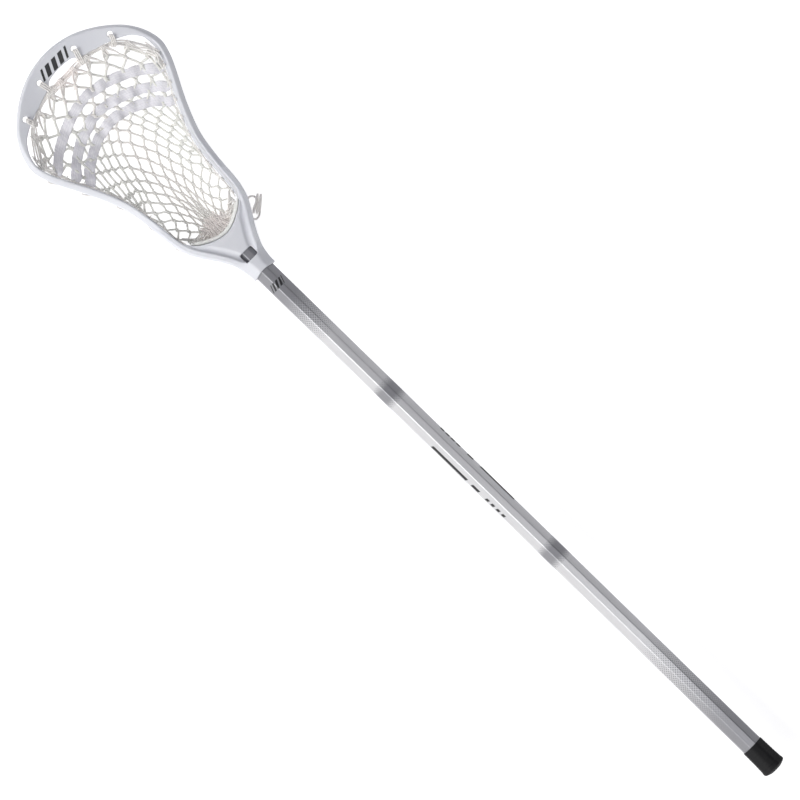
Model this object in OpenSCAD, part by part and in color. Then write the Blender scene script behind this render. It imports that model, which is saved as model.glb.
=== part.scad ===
// Men's lacrosse stick: a moulded head with a strung mesh pocket on an eight-sided alloy shaft.
// +X runs along the shaft towards the head, +Z out of the open face, and Z = 0 is under the
// lowest point. The head is laid out by s, the distance behind the scoop tip, by y, the distance
// from the shaft's centre plane, and by z, the height above the shaft's axis.

/* [Stick] */
// Overall length, from the scoop tip to the end of the butt cap
stick_len = 1016; // [950:1:1100]

/* [Head] */
// Widest part of the head, outside
head_w = 183.6; // [170:0.1:190]
// Width of the rim's top face along the sidewalls
rim_w = 7; // [6:0.1:8]
// Thickness of the sidewalls between the rim and the lower rail
wall = 3.8; // [3:0.1:4.5]
// Width of the lower rail that the pocket is laced to
rail_w = 6.4; // [5.5:0.1:7]
// Diameter of the lacing holes in the lower rails
lace_hole_d = 3.4; // [3:0.1:4]
// Diameter of the four holes in the scoop
scoop_hole_d = 6; // [4:0.1:7]

/* [Shaft] */
// Width of the shaft from side to side
shaft_w = 22; // [20:0.1:23]
// Depth of the shaft from front to back
shaft_d = 24.5; // [23:0.1:25]
// Wall of the alloy tube
shaft_wall = 1.5; // [1:0.1:2.5]
// How far the shaft goes into the head
socket_depth = 44.5; // [40:0.5:48]

/* [Butt cap] */
// Length of the butt cap
cap_len = 33.8; // [30:0.1:45]
// Rubber wall of the cap round the shaft
cap_wall = 1.2; // [1:0.1:2]
// Diameter of the cap's end flange
flange_d = 26.4; // [26:0.1:32]

/* [Strings] */
// Thickness of the lacing strings
string_d = 2.4; // [2:0.1:2.8]
// Width of the three flat shooting strings
lace_w = 8.5; // [7:0.1:10]
// Thickness of the plain shell that holds the pocket's place
net_t = 1.6; // [1.2:0.1:2]

/* [Hidden] */
$fn = 48;
gap = 0.3;              // clear space between soft solids
fit = 0.1;              // clear space between the shaft and its socket
collar_s = 306;         // where the head's collar ends on the shaft
screw_s = 284;          // place of the screw along the stick
screw_d = 4;
screw_head_d = 8;
screw_len = 12;
screw_seat_z = -14.2;   // underside of the screw's head, in its recess
below = -30;            // a height under the whole collar
throat_s = 204;         // where the solid throat starts beside the pocket
lace_up = 4.2;          // lacing holes above the underside of the lower rails
cap_end = 4;            // solid rubber behind the end of the shaft
end_flat_r = 6;         // flat in the middle of the cap's domed end, which the stick stands on
big = 400;

// ---- curves -------------------------------------------------------------------------------
function lerp(a, b, t) = a + (b - a) * t;
function clamp(x) = max(0, min(1, x));
function smooth(x) = let (c = clamp(x)) c * c * (3 - 2 * c);
function unit(v) = v / norm(v);
function curve_at(a, b, c, d, t) =
    0.5 * (2 * b + (c - a) * t + (2 * a - 5 * b + 4 * c - d) * t * t
           + (3 * b - a - 3 * c + d) * t * t * t);
// A smooth curve through the points p, n steps a span; before is the point ahead of the first
function curve(p, n, before) =
    let (m = len(p))
    [for (i = [0:m - 2]) for (k = [0:n - 1])
        curve_at(i == 0 ? before : p[i - 1], p[i], p[i + 1],
                 i + 2 < m ? p[i + 2] : 2 * p[m - 1] - p[m - 2], k / n), p[m - 1]];
function run(p, n) = curve(p, n, 2 * p[0] - p[1]);
function flip(p) = [for (i = [len(p) - 1:-1:0]) p[i]];
function left_of(p) = [for (q = p) [q[0], -q[1]]];

// ---- the head's plan and its heights --------------------------------------------------------
// Outer edge of one half of the head: [s, y]
plan_pts = [for (p = [[0, 0], [4, 27], [15, 50.8], [30, 70], [44, 82], [59, 89.2], [74, 91.8],
                      [89, 88.2], [104, 81.4], [134, 66], [164, 54.2], [193, 49.2], [223, 46.4],
                      [240, 42], [253, 35.2], [268, 25.6], [283, 18], [296, 14.8],
                      [collar_s, 14.2]]) [p[0], p[1] * head_w / 183.6]];
edge = curve(plan_pts, 3, [plan_pts[1][0], -plan_pts[1][1]]);
// Width of the top face, by s of the outer edge: the scoop's ramp, then the rim
ramp_pts = [[0, 21.5], [2.1, 21.5], [4.5, 25], [15, 22], [30, 15], [44, 9.8], [59, 7.6],
            [74, rim_w], [collar_s, rim_w]];
// Inner edge of the throat: the ball stop
stop_pts = [[253.3, 0], [251.8, 9], [247.6, 19], [240.5, 30], [229, 38], [214, 43],
            [throat_s, 45.6]];
rim_z = run([[0, 36], [30, 33.5], [60, 29.5], [90, 24], [120, 18.5], [150, 14.5], [180, 12],
             [210, 11], [240, 12.8], [262, 15], [285, 15.8], [collar_s, 15.4]], 4);
rail_z = run([[0, 30], [15, 26], [30, 19], [60, 3], [90, -10], [120, -19], [150, -25.5],
              [180, -29.5], [210, -31], [232, -30], [255, -25.5], [275, -18.5], [292, -15.8],
              [collar_s, -15.4]], 4);
lean = 2;               // how far the lower rail is set in from the rim
axis_z = -min([for (p = rail_z) p[1]]);

function top_z(s) = lookup(s, rim_z);
function low_z(s) = lookup(s, rail_z);
// Inward normals of the outer edge
normals = [for (i = [0:len(edge) - 1])
    let (a = i == 0 ? [edge[1][0], -edge[1][1]] : edge[i - 1],
         b = edge[min(i + 1, len(edge) - 1)], t = unit(b - a)) [t[1], -t[0]]];
function inset(d) = [for (i = [0:len(edge) - 1]) edge[i] + normals[i] * d];
inner_face = inset(lean + rail_w);
function inner_y(s) = lookup(s, inner_face);

// One cut through the rim, the wall and the lower rail, as [distance in from the edge, z]
function wall_cut(w, zt, zb) =
    let (zi = zt - 0.8 - 0.45 * (w - rim_w), r = lean + rail_w)
    [[0, zt - 2.2], [2, zt], [w - 1, zi], [w, zi - 1], [w, zi - 3.6], [lean / 2 + wall, zi - 5.4],
     [lean + wall, zb + 9], [r, zb + 7.6], [r, zb + 1], [r - 1, zb], [lean + 1, zb],
     [lean, zb + 1]];
// The same twelve corners on the thin blade of the scoop
function blade_cut(w, zt) =
    let (c = wall_cut(w, zt, 0), inner = c[4], outer = [0.4, zt - 5])
    concat([for (i = [0:4]) c[i]],
           [for (i = [1:7]) lerp(inner, outer, i / 7) - [0, 0.8 * sin(180 * i / 7)]]);
function head_cut(i) =
    let (s = edge[i][0], w = lookup(s, ramp_pts), k = smooth((s - 30) / 45),
         c = lerp(blade_cut(w, top_z(s)), wall_cut(w, top_z(s), low_z(s)), k))
    [for (q = c) let (p = edge[i] + normals[i] * q[0]) [p[0], p[1], q[1]]];

// ---- the pocket -----------------------------------------------------------------------------
// Height of the mesh along the middle of the pocket
sag_z = run([[25, 23], [45, 10], [70, -5], [100, -18.5], [130, -26.5], [160, -29.4], [195, -29.6],
             [222, -28.6], [246, -24]], 4);
net_front = 26;
net_back = 245;
function net_y(s) = inner_y(s) - 2 * gap - string_d;
function net_z(s, v) =
    lerp(lookup(s, sag_z), low_z(s) + lace_up, pow(abs(v), 2.5));
// Front and back edges of the mesh: s by v, which runs from -1 to 1 across the pocket
function front_s(v) = net_front + 34 * v * v;
function back_s(v) = net_back - 24 * pow(abs(v), 2.6);
function net_point(u, v) =
    let (s = lerp(front_s(v), back_s(v), u)) [s, v * net_y(s), net_z(s, v)];
function over_net(s, v, up) = [s, v * net_y(s), net_z(s, v) + up];

// ---- helpers --------------------------------------------------------------------------------
// Puts what is drawn by s, y and z into the stick's own frame
module place() {
    translate([stick_len / 2, 0, axis_z]) mirror([1, 0, 0]) children();
}
// Skin over rings of points, with flat ends; caps splits an end into convex faces
module skin(rings, caps = []) {
    n = len(rings[0]);
    m = len(rings);
    ends = len(caps) > 0 ? caps : [[for (k = [0:n - 1]) k]];
    sides = [for (i = [0:m - 2]) for (k = [0:n - 1])
        let (a = i * n + k, b = i * n + (k + 1) % n) each [[a, b, b + n], [a, b + n, a + n]]];
    polyhedron([for (r = rings) each r],
               concat(sides, [for (c = ends) flip(c)],
                      [for (c = ends) [for (k = c) (m - 1) * n + k]]), convexity = 10);
}
// Round string of diameter d along the points p
module string(p, d) {
    n = 8;
    m = len(p);
    skin([for (i = [0:m - 1])
        let (t = unit(p[min(i + 1, m - 1)] - p[max(i - 1, 0)]),
             a = unit(cross(t, abs(t[2]) < 0.8 ? [0, 0, 1] : [0, 1, 0])), b = cross(a, t))
        [for (k = [0:n - 1]) p[i] + d / 2 * (cos(360 * k / n) * a + sin(360 * k / n) * b)]]);
}
// Eight-sided outline of the shaft, grown by g
module octagon(g) {
    w = shaft_w / 2 + g;
    d = shaft_d / 2 + g;
    f = 3.4 + 0.4 * g;
    e = 5 + 0.4 * g;
    polygon([[e, w], [d, f], [d, -f], [e, -w], [-e, -w], [-d, -f], [-d, f], [-e, w]]);
}
// Prism of that outline between two places along the stick
module bar(s0, s1, g) {
    translate([s0, 0, 0]) rotate([0, 90, 0]) linear_extrude(s1 - s0) octagon(g);
}
// Rounded slot through both sidewalls: a and b are its ends as [s, z]
module slot(a, b, r) {
    t = unit(b - a);
    n = [-t[1], t[0]] * r;
    rotate([90, 0, 0]) linear_extrude(big, center = true) {
        polygon([a + n, a - n, b - n, b + n]);
        translate(a) circle(r);
        translate(b) circle(r);
    }
}

// ---- the head -------------------------------------------------------------------------------
// Rim, walls, lower rails and scoop: one section carried round from collar to collar
module rails() {
    m = len(edge) - 1;
    right = [for (i = [0:m]) head_cut(i)];
    left = [for (i = [1:m]) [for (q = right[i]) [q[0], -q[1], q[2]]]];
    skin(concat(flip(right), left), [[0, 1, 2, 3, 4, 5], [0, 5, 6, 11], [6, 7, 8, 9, 10, 11]]);
}
// Solid of a plan outline between the rim's and the lower rail's heights
module between_heights(drop) {
    rows = [for (p = rim_z) if (p[0] > throat_s - 14) [p[0], p[1] - drop]];
    lows = [for (p = rail_z) if (p[0] > throat_s - 14) [p[0], p[1] + drop]];
    intersection() {
        translate([0, 0, -60]) linear_extrude(120) children();
        rotate([90, 0, 0]) linear_extrude(big, center = true) polygon(concat(rows, flip(lows)));
    }
}
module throat() {
    side = [for (p = inset(1.7)) if (p[0] > throat_s) p];
    stop = run(stop_pts, 4);
    last = len(side) - 1;
    half = concat(stop, [for (i = [0:last - 1]) side[i]],
                  [[collar_s - 0.6, side[last][1]], [collar_s - 0.6, 0]]);
    between_heights(1) polygon(concat(half, flip(left_of([for (p = half) if (p[1] > 0) p]))));
}
// Hollows in the back of the throat, on both sides of the socket
module back_hollows() {
    outline = [[259, 17], [271, 17], [263.5, 23], [249, 34], [244, 34.5], [253, 23]];
    for (side = [1, -1]) {
        translate([0, 0, -60]) linear_extrude(66)
            polygon([for (p = outline) [p[0], side * p[1]]]);
    }
}
module lacing_holes() {
    for (s = [88, 104, 120, 136, 154, 172, 190, 208, 224, 240]) {
        translate([s, 0, low_z(s) + lace_up]) rotate([90, 0, 0])
            cylinder(h = big, d = lace_hole_d, center = true);
    }
}
module scoop_holes() {
    for (side = [1, -1]) {
        translate([17.8, side * 24, 0]) cylinder(h = 60, d = scoop_hole_d);
        translate([33, side * 59.5, 0]) cylinder(h = 60, d = scoop_hole_d);
    }
}
module head() {
    color("white") place() difference() {
        union() {
            rails();
            throat();
        }
        bar(collar_s - socket_depth - fit, collar_s + 10, fit);
        // Window in the front of the collar
        translate([278.6, -7.8, 5]) cube([10.2, 15.6, 20]);
        // Screw hole with its recess, in the back of the collar
        translate([screw_s, 0, below]) cylinder(h = 25, d = screw_d + 0.2);
        translate([screw_s, 0, below]) cylinder(h = screw_seat_z - below, d = screw_head_d + 0.6);
        back_hollows();
        lacing_holes();
        scoop_holes();
        slot([86, 8], [104, 2], 5.5);
        slot([124, -1], [150, -5], 6.5);
        slot([172, -8], [196, -9.5], 7);
    }
}
module ball_stop_pad() {
    inner = [for (p = run(stop_pts, 4)) if (p[0] > 236) p];
    pad = [for (p = inner) p - [gap, 0]];
    face = [for (p = inner) p - [4.6 - 0.02 * p[1], 0]];
    outline = concat(flip(left_of([for (p = pad) if (p[1] > 0) p])), pad, flip(face),
                     left_of([for (p = face) if (p[1] > 0) p]));
    color([0.78, 0.76, 0.71]) place() translate([0, 0, -16]) linear_extrude(23) polygon(outline);
}

// ---- the shaft and its fittings -----------------------------------------------------------------
module shaft() {
    color("silver") place() difference() {
        bar(collar_s - socket_depth, stick_len - cap_end, 0);
        bar(collar_s - socket_depth - 1, stick_len - cap_end + 1, -shaft_wall);
        translate([screw_s, 0, below]) cylinder(h = -below, d = screw_d + 0.2);
    }
}
module butt_cap() {
    lip = stick_len - cap_len;
    r = flange_d / 2;
    color([0.13, 0.13, 0.14]) place() difference() {
        union() {
            bar(lip, stick_len - 3, cap_wall);
            // Flange and domed end with a small flat, turned about the shaft's axis
            translate([stick_len, 0, 0]) rotate([0, -90, 0]) rotate_extrude()
                polygon([[0, 0], [end_flat_r, 0], [r - 4, 0.9], [r - 1.2, 2.4], [r, 4], [r, 6.4],
                         [r - 0.8, 7.6], [0, 7.6]]);
        }
        bar(lip - 1, stick_len - cap_end, 0.12);
    }
}
module head_screw() {
    color([0.45, 0.46, 0.48]) place() difference() {
        union() {
            translate([screw_s, 0, screw_seat_z - 2]) cylinder(h = 2, d = screw_head_d);
            translate([screw_s, 0, screw_seat_z]) cylinder(h = screw_len, d = screw_d);
        }
        // Cross recess for the driver
        for (turn = [0, 90]) {
            translate([screw_s, 0, screw_seat_z - 2.1]) rotate([0, 0, turn])
                cube([4.6, 0.9, 2.4], center = true);
        }
    }
}

// ---- the pocket and its strings -----------------------------------------------------------------
module pocket_mesh() {
    rows = 22;
    cols = 16;
    n = cols + 1;
    count = (rows + 1) * n;
    grid = [for (i = [0:rows]) for (k = [0:cols]) net_point(i / rows, 2 * k / cols - 1)];
    function at(i, k) = i * n + k;
    up = [for (i = [0:rows - 1]) for (k = [0:cols - 1])
        each [[at(i, k), at(i + 1, k + 1), at(i + 1, k)], [at(i, k), at(i, k + 1), at(i + 1, k + 1)]]];
    rim = concat([for (k = [0:cols - 1]) at(0, k)], [for (i = [0:rows - 1]) at(i, cols)],
                 [for (k = [cols:-1:1]) at(rows, k)], [for (i = [rows:-1:1]) at(i, 0)]);
    m = len(rim);
    skirt = [for (j = [0:m - 1]) let (a = rim[j], b = rim[(j + 1) % m])
        each [[a, b + count, b], [a, a + count, b + count]]];
    down = [for (f = up) [f[2] + count, f[1] + count, f[0] + count]];
    color([0.93, 0.92, 0.89]) place()
        polyhedron(concat([for (p = grid) p + [0, 0, net_t / 2]],
                          [for (p = grid) p - [0, 0, net_t / 2]]),
                   concat(up, skirt, down), convexity = 10);
}
module top_string() {
    off = string_d / 2 + gap;
    p = [for (i = [-24:24]) let (v = 0.97 * i / 24, s = front_s(v) - off - net_t)
        [s, v * net_y(front_s(v)), net_z(front_s(v), v)]];
    color([0.90, 0.88, 0.84]) place() string(p, string_d);
}
module sidewall_string(side) {
    p = [for (i = [0:40]) let (s = lerp(64, 224, i / 40))
        [s, side * (inner_y(s) - gap - string_d / 2), low_z(s) + lace_up]];
    color([0.90, 0.88, 0.84]) place() string(p, string_d);
}
module bottom_string() {
    p = [for (i = [-16:16]) let (v = 0.94 * i / 16, s = back_s(v) + string_d / 2 + 2 * gap)
        [s, v * net_y(back_s(v)), net_z(back_s(v), v)]];
    color([0.90, 0.88, 0.84]) place() string(p, string_d);
}
// Flat lace over the mesh: mid is its place in the middle, ends its place at the sidewalls
module shooting_string(mid, ends) {
    up = net_t / 2 + gap;
    function row(v) = mid + (ends - mid) * pow(abs(v), 1.7);
    rings = [for (i = [-18:18]) let (v = 0.97 * i / 18, s = row(v), a = s - lace_w / 2,
                                     b = s + lace_w / 2)
        [over_net(a, v, up), over_net(b, v, up), over_net(b, v, up + 1.2),
         over_net(a, v, up + 1.2)]];
    color([0.84, 0.84, 0.88]) place() skin(rings);
}
// Spare end of the lacing: [s, y, z] of its arch out of the sidewall
tail_arch = [[249.7, -36.5, -23], [244.6, -39.3, -23.1], [242.6, -42.8, -23.2],
             [244, -46.5, -23.5], [247.7, -47.9, -24], [251.1, -45.9, -25.3],
             [252.3, -42.2, -27.8]];
// [s, y, z] of its way back from the bow to the head
tail_back = [[259, -42.5, -29.8], [261.5, -39.4, -29], [263.1, -36, -27.2],
             [262.8, -32.6, -25], [260.3, -30.9, -23.3], [257.4, -31.7, -22.6]];
// Between them a flat bow of two turns, standing on edge: its middle, [s, y, z]
bow_mid = [253.3, -44.9, -25.4];
// Bend radius at the bow's two ends
bow_r = 4.4;
// Half the straight run between the ends
bow_run = 5.1;
// Distance from the first turn to the last
bow_w = 6.4;
// Steps in one turn: four round each end and three along each straight
bow_steps = 14;
// Steps in the bow, a little under two turns
bow_n = 27;
// Point k of the bow
function bow(k) =
    let (m = k % bow_steps,
         a = m < 4 ? 45 * m - 90 : m < 7 ? 90 : m < 11 ? 45 * (m - 7) + 90 : 270,
         along = m < 4 ? 1 : m < 7 ? 1 - 2 * (m - 4) / 3 : m < 11 ? -1 : 2 * (m - 11) / 3 - 1,
         x = bow_run * along + bow_r * cos(a), w = bow_w * (k / bow_n - 0.5))
    bow_mid + [0.6 * x + 0.8 * w, 0.8 * x - 0.6 * w, bow_r * sin(a)];
module string_tail() {
    route = concat(tail_arch, [for (k = [0:bow_n - 1]) bow(k)], tail_back);
    color([0.80, 0.77, 0.72]) place() string(run(route, 2), 2.2);
}

head();
shaft();
butt_cap();
head_screw();
ball_stop_pad();
pocket_mesh();
top_string();
sidewall_string(1);  // sidewall_string_left
sidewall_string(-1);  // sidewall_string_right
bottom_string();
shooting_string(57.5, 93);  // shooting_string_1
shooting_string(77, 111);  // shooting_string_2
shooting_string(92, 124);  // shooting_string_3
string_tail();
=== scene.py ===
import math

import bmesh
import bpy
import numpy as np
from mathutils import Matrix, Vector


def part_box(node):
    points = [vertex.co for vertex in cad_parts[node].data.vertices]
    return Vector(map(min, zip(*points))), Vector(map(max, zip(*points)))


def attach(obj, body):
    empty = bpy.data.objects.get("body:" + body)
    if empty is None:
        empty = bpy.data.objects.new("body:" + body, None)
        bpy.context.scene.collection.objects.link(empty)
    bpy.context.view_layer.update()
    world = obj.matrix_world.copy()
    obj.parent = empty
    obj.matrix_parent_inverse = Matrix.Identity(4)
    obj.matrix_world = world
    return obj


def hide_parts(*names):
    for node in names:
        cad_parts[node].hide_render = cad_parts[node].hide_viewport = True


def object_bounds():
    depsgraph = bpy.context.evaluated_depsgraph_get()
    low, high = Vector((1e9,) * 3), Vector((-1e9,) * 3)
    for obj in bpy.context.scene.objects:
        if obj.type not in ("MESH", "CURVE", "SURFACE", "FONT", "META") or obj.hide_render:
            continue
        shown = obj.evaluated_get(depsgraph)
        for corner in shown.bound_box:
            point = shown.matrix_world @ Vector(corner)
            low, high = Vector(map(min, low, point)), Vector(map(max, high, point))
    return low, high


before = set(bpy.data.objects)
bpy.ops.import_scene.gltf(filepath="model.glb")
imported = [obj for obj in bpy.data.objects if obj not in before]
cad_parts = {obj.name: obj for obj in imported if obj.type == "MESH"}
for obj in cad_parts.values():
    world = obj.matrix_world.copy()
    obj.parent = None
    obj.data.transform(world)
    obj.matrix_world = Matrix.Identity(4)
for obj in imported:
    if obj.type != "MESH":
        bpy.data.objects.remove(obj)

cad_low, cad_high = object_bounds()

# ---- the stick's own layout ----
# Shapes are worked out in mm as (s, y, z): s behind the scoop's tip, y to the left of the shaft's
# centre plane and z above the shaft's axis. place() turns them into metres in the frame.
MM = 0.001
head_low, head_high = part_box("head")
shaft_low, shaft_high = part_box("shaft")
cap_low, cap_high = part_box("butt_cap")
screw_low, screw_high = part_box("head_screw")
TIP_X = head_high.x
AXIS_Z = (shaft_low.z + shaft_high.z) / 2
COLLAR_END = (TIP_X - head_low.x) / MM
SHAFT_START = (TIP_X - shaft_high.x) / MM
SHAFT_END = (TIP_X - shaft_low.x) / MM
CAP_START = (TIP_X - cap_high.x) / MM
STICK_END = (TIP_X - cap_low.x) / MM
SCREW_S = (TIP_X - (screw_low.x + screw_high.x) / 2) / MM
SCREW_LOW = (screw_low.z - AXIS_Z) / MM
SCREW_TOP = (screw_high.z - AXIS_Z) / MM
HALF_W = (shaft_high.y - shaft_low.y) / 2 / MM
HALF_D = (shaft_high.z - shaft_low.z) / 2 / MM


def place(points):
    """(s, y, z) in mm as points of the frame in metres."""
    p = np.asarray(points, float).reshape(-1, 3)
    return np.column_stack((TIP_X - p[:, 0] * MM, p[:, 1] * MM, AXIS_Z + p[:, 2] * MM))


def smooth(x):
    """0 to 1 with soft ends as x goes from 0 to 1."""
    c = np.clip(x, 0, 1)
    return c * c * (3 - 2 * c)


def curve(points, steps, before=None):
    """A smooth curve through points, steps to a span."""
    p = np.asarray(points, float)
    first = 2 * p[0] - p[1] if before is None else np.asarray(before, float)
    q = np.vstack((first, p, 2 * p[-1] - p[-2]))
    t = (np.arange(steps) / steps)[:, None]
    out = []
    for a, b, c, d in zip(q[:-3], q[1:-2], q[2:-1], q[3:]):
        out.append(0.5 * (2 * b + (c - a) * t + (2 * a - 5 * b + 4 * c - d) * t ** 2
                          + (3 * b - a - 3 * c + d) * t ** 3))
    return np.vstack(out + [p[-1:]])


def through(points):
    """A smooth function of x through (x, y) points."""
    line = curve(points, 8)
    return lambda x: np.interp(x, line[:, 0], line[:, 1])


def unit(v):
    v = np.asarray(v, float)
    return v / np.maximum(np.linalg.norm(v, axis=-1, keepdims=True), 1e-12)


def lengths(path):
    """Distance along a line to each of its points."""
    return np.concatenate([[0], np.cumsum(np.linalg.norm(np.diff(path, axis=0), axis=1))])


def circle(count):
    """Angles of count places round a circle."""
    return np.linspace(0, 2 * math.pi, count, endpoint=False)


# The outer edge of the head's left half, as (s, y)
PLAN = [[0, 0], [4, 27], [15, 50.8], [30, 70], [44, 82], [59, 89.2], [74, 91.8], [89, 88.2],
        [104, 81.4], [134, 66], [164, 54.2], [193, 49.2], [223, 46.4], [240, 42], [253, 35.2],
        [268, 25.6], [283, 18], [296, 14.8], [306, 14.2]]
RIM_W = 7        # width of the rim's top face
WALL = 3.8       # thickness of a sidewall
RAIL_W = 6.4     # width of the lower rail
LEAN = 2         # how far the lower rail stands in from the rim's edge
LACE_UP = 4.2    # height of the lacing holes above the rail's underside
EDGE = curve(PLAN, 12, before=[4, -27])
# Width of the top face by place: a broad plate at the scoop, then the rim
TOP_W = [[0, 21.5], [2.1, 21.5], [4.5, 25], [15, 22], [30, 15], [44, 9.8], [59, 7.6], [74, RIM_W],
         [306, RIM_W]]
# The ball stop's edge from the middle to the sidewall, then the heights of rim and rail
STOP = curve([[253.3, 0], [251.8, 9], [247.6, 19], [240.5, 30], [229, 38], [214, 43], [204, 45.6]], 8)
top_z = through([[0, 36], [30, 33.5], [60, 29.5], [90, 24], [120, 18.5], [150, 14.5], [180, 12],
                 [210, 11], [240, 12.8], [262, 15], [285, 15.8], [306, 15.4]])
low_z = through([[0, 30], [15, 26], [30, 19], [60, 3], [90, -10], [120, -19], [150, -25.5],
                 [180, -29.5], [210, -31], [232, -30], [255, -25.5], [275, -18.5], [292, -15.8],
                 [306, -15.4]])
LACE_HOLES = [88, 104, 120, 136, 154, 172, 190, 208, 224, 240]
SCOOP_HOLES = [(17.8, 24), (33, 59.5)]
SCOOP_HOLE_R = 3
LACE_HOLE_R = 1.7
SCREW_HOLE_R = 2.1
SCREW_POCKET_R = 4.4
# Ends as (s, z) and radius of the slots through the sidewalls
SIDE_SLOTS = [((86, 8), (104, 2), 5.5), ((124, -1), (150, -5), 6.5), ((172, -8), (196, -9.5), 7)]
# Outline of the hollow under each side of the throat, and two corners of the window in its front
HOLLOW = [(259, 17), (271, 17), (263.5, 23), (249, 34), (244, 34.5), (253, 23)]
WINDOW = (278.6, -7.8, 5), (288.8, 7.8, 25)

ahead = np.vstack((EDGE[1] * [1, -1], EDGE[:-1]))
after = np.vstack((EDGE[1:], EDGE[-1:]))
slope = unit(after - ahead)
NORMALS = np.column_stack((slope[:, 1], -slope[:, 0]))


def inset(d):
    """The outer edge moved in by d."""
    return EDGE + NORMALS * d


INNER_FACE = inset(LEAN + RAIL_W)


def edge_y(s):
    return np.interp(s, EDGE[:, 0], EDGE[:, 1])


def inner_y(s):
    return np.interp(s, INNER_FACE[:, 0], INNER_FACE[:, 1])


def top_width(s):
    return np.interp(s, [p[0] for p in TOP_W], [p[1] for p in TOP_W])


# The pocket's surface: its depth by place along the middle, and the room for the string at its edge
STRING_D = 2.4
GAP = 0.3
sag_z = through([[25, 23], [45, 10], [70, -5], [100, -18.5], [130, -26.5], [160, -28.7],
                 [195, -28.7], [222, -28.2], [246, -24]])


def net_y(s):
    """The pocket's half width."""
    return inner_y(s) - 2 * GAP - STRING_D


def net_z(s, v):
    """Height of the pocket where v runs from -1 to 1 across it."""
    blend = np.abs(v) ** 2.5
    return sag_z(s) * (1 - blend) + (low_z(s) + LACE_UP) * blend


def net_height(s, y):
    return net_z(s, y / net_y(s))


# ---- camera, light and floor ----
PICTURE_SPAN = 0.7954    # metres across the picture at the shaft's height
PICTURE_CENTRE = Vector((0.0161, -0.0020, AXIS_Z))
SLOPE_DOWN = math.radians(44.23)    # the stick's slope down the picture
ROLL = math.radians(3.7)            # the camera stands this far over to the left side
LENS = 300


def make_camera():
    data = bpy.data.cameras.new("camera")
    data.lens = LENS
    data.clip_end = 100
    camera = bpy.data.objects.new("camera", data)
    bpy.context.scene.collection.objects.link(camera)
    bpy.context.scene.camera = camera
    c, s = math.cos(SLOPE_DOWN), math.sin(SLOPE_DOWN)
    facing = Matrix(((-c, s, 0), (-s, -c, 0), (0, 0, 1))).to_4x4()
    turned = Matrix.Rotation(-ROLL, 4, "X") @ facing
    away = PICTURE_SPAN / 2 / (data.sensor_width / 2 / LENS)
    camera.matrix_world = Matrix.Translation(PICTURE_CENTRE + turned.col[2].xyz * away) @ turned


def area_light(name, at, aim, size, power, spread=180):
    data = bpy.data.lights.new(name, "AREA")
    data.shape = "RECTANGLE"
    data.size, data.size_y = size
    data.energy = power
    data.spread = math.radians(spread)
    lamp = bpy.data.objects.new(name, data)
    bpy.context.scene.collection.objects.link(lamp)
    lamp.location = at
    lamp.rotation_euler = (Vector(aim) - Vector(at)).to_track_quat("-Z", "Y").to_euler()


def make_sky():
    """Soft studio surround, brighter on the stick's left side."""
    world = bpy.data.worlds.new("studio")
    bpy.context.scene.world = world
    world.use_nodes = True
    nodes, links = world.node_tree.nodes, world.node_tree.links
    nodes.clear()
    out = nodes.new("ShaderNodeOutputWorld")
    back = nodes.new("ShaderNodeBackground")
    where = nodes.new("ShaderNodeTexCoord")
    split = nodes.new("ShaderNodeSeparateXYZ")
    ramp = nodes.new("ShaderNodeValToRGB")
    links.new(where.outputs["Generated"], split.inputs[0])
    shift = nodes.new("ShaderNodeMath")
    shift.operation = "MULTIPLY_ADD"
    shift.inputs[1].default_value = 0.5
    shift.inputs[2].default_value = 0.5
    links.new(split.outputs["Y"], shift.inputs[0])
    links.new(shift.outputs[0], ramp.inputs[0])
    ramp.color_ramp.elements[0].color = (0.17, 0.17, 0.195, 1)
    ramp.color_ramp.elements[1].color = (1.0, 0.99, 0.97, 1)
    middle = ramp.color_ramp.elements.new(0.5)
    middle.color = (0.44, 0.44, 0.47, 1)
    links.new(ramp.outputs["Color"], back.inputs["Color"])
    back.inputs["Strength"].default_value = 0.76
    links.new(back.outputs[0], out.inputs[0])


def make_floor():
    """A wide pale floor just under the stick."""
    wide = 40
    mesh = bpy.data.meshes.new("floor")
    low = cad_low.z - 0.0006
    mesh.from_pydata([(-wide, -wide, low), (wide, -wide, low), (wide, wide, low), (-wide, wide, low)],
                     [], [(0, 1, 2, 3)])
    floor = bpy.data.objects.new("floor", mesh)
    bpy.context.scene.collection.objects.link(floor)
    mat = bpy.data.materials.new("floor")
    mat.use_nodes = True
    shader = mat.node_tree.nodes["Principled BSDF"]
    shader.inputs["Base Color"].default_value = (0.93, 0.93, 0.93, 1)
    shader.inputs["Roughness"].default_value = 0.9
    shader.inputs["Emission Color"].default_value = (1, 1, 1, 1)
    shader.inputs["Emission Strength"].default_value = 0.55
    mesh.materials.append(mat)


make_camera()
make_sky()
area_light("key", (0.3, 1.9, 1.5), (0.1, 0, 0), (2.2, 1.2), 31)
area_light("butt", (-0.75, -0.1, 1.6), (-0.5, 0, 0), (0.9, 0.9), 4)
area_light("pocket", (1.0, -0.1, 1.25), (0.39, 0, 0), (0.5, 0.5), 0.15, spread=22)
make_floor()
bpy.context.scene.view_settings.view_transform = "Standard"


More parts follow.
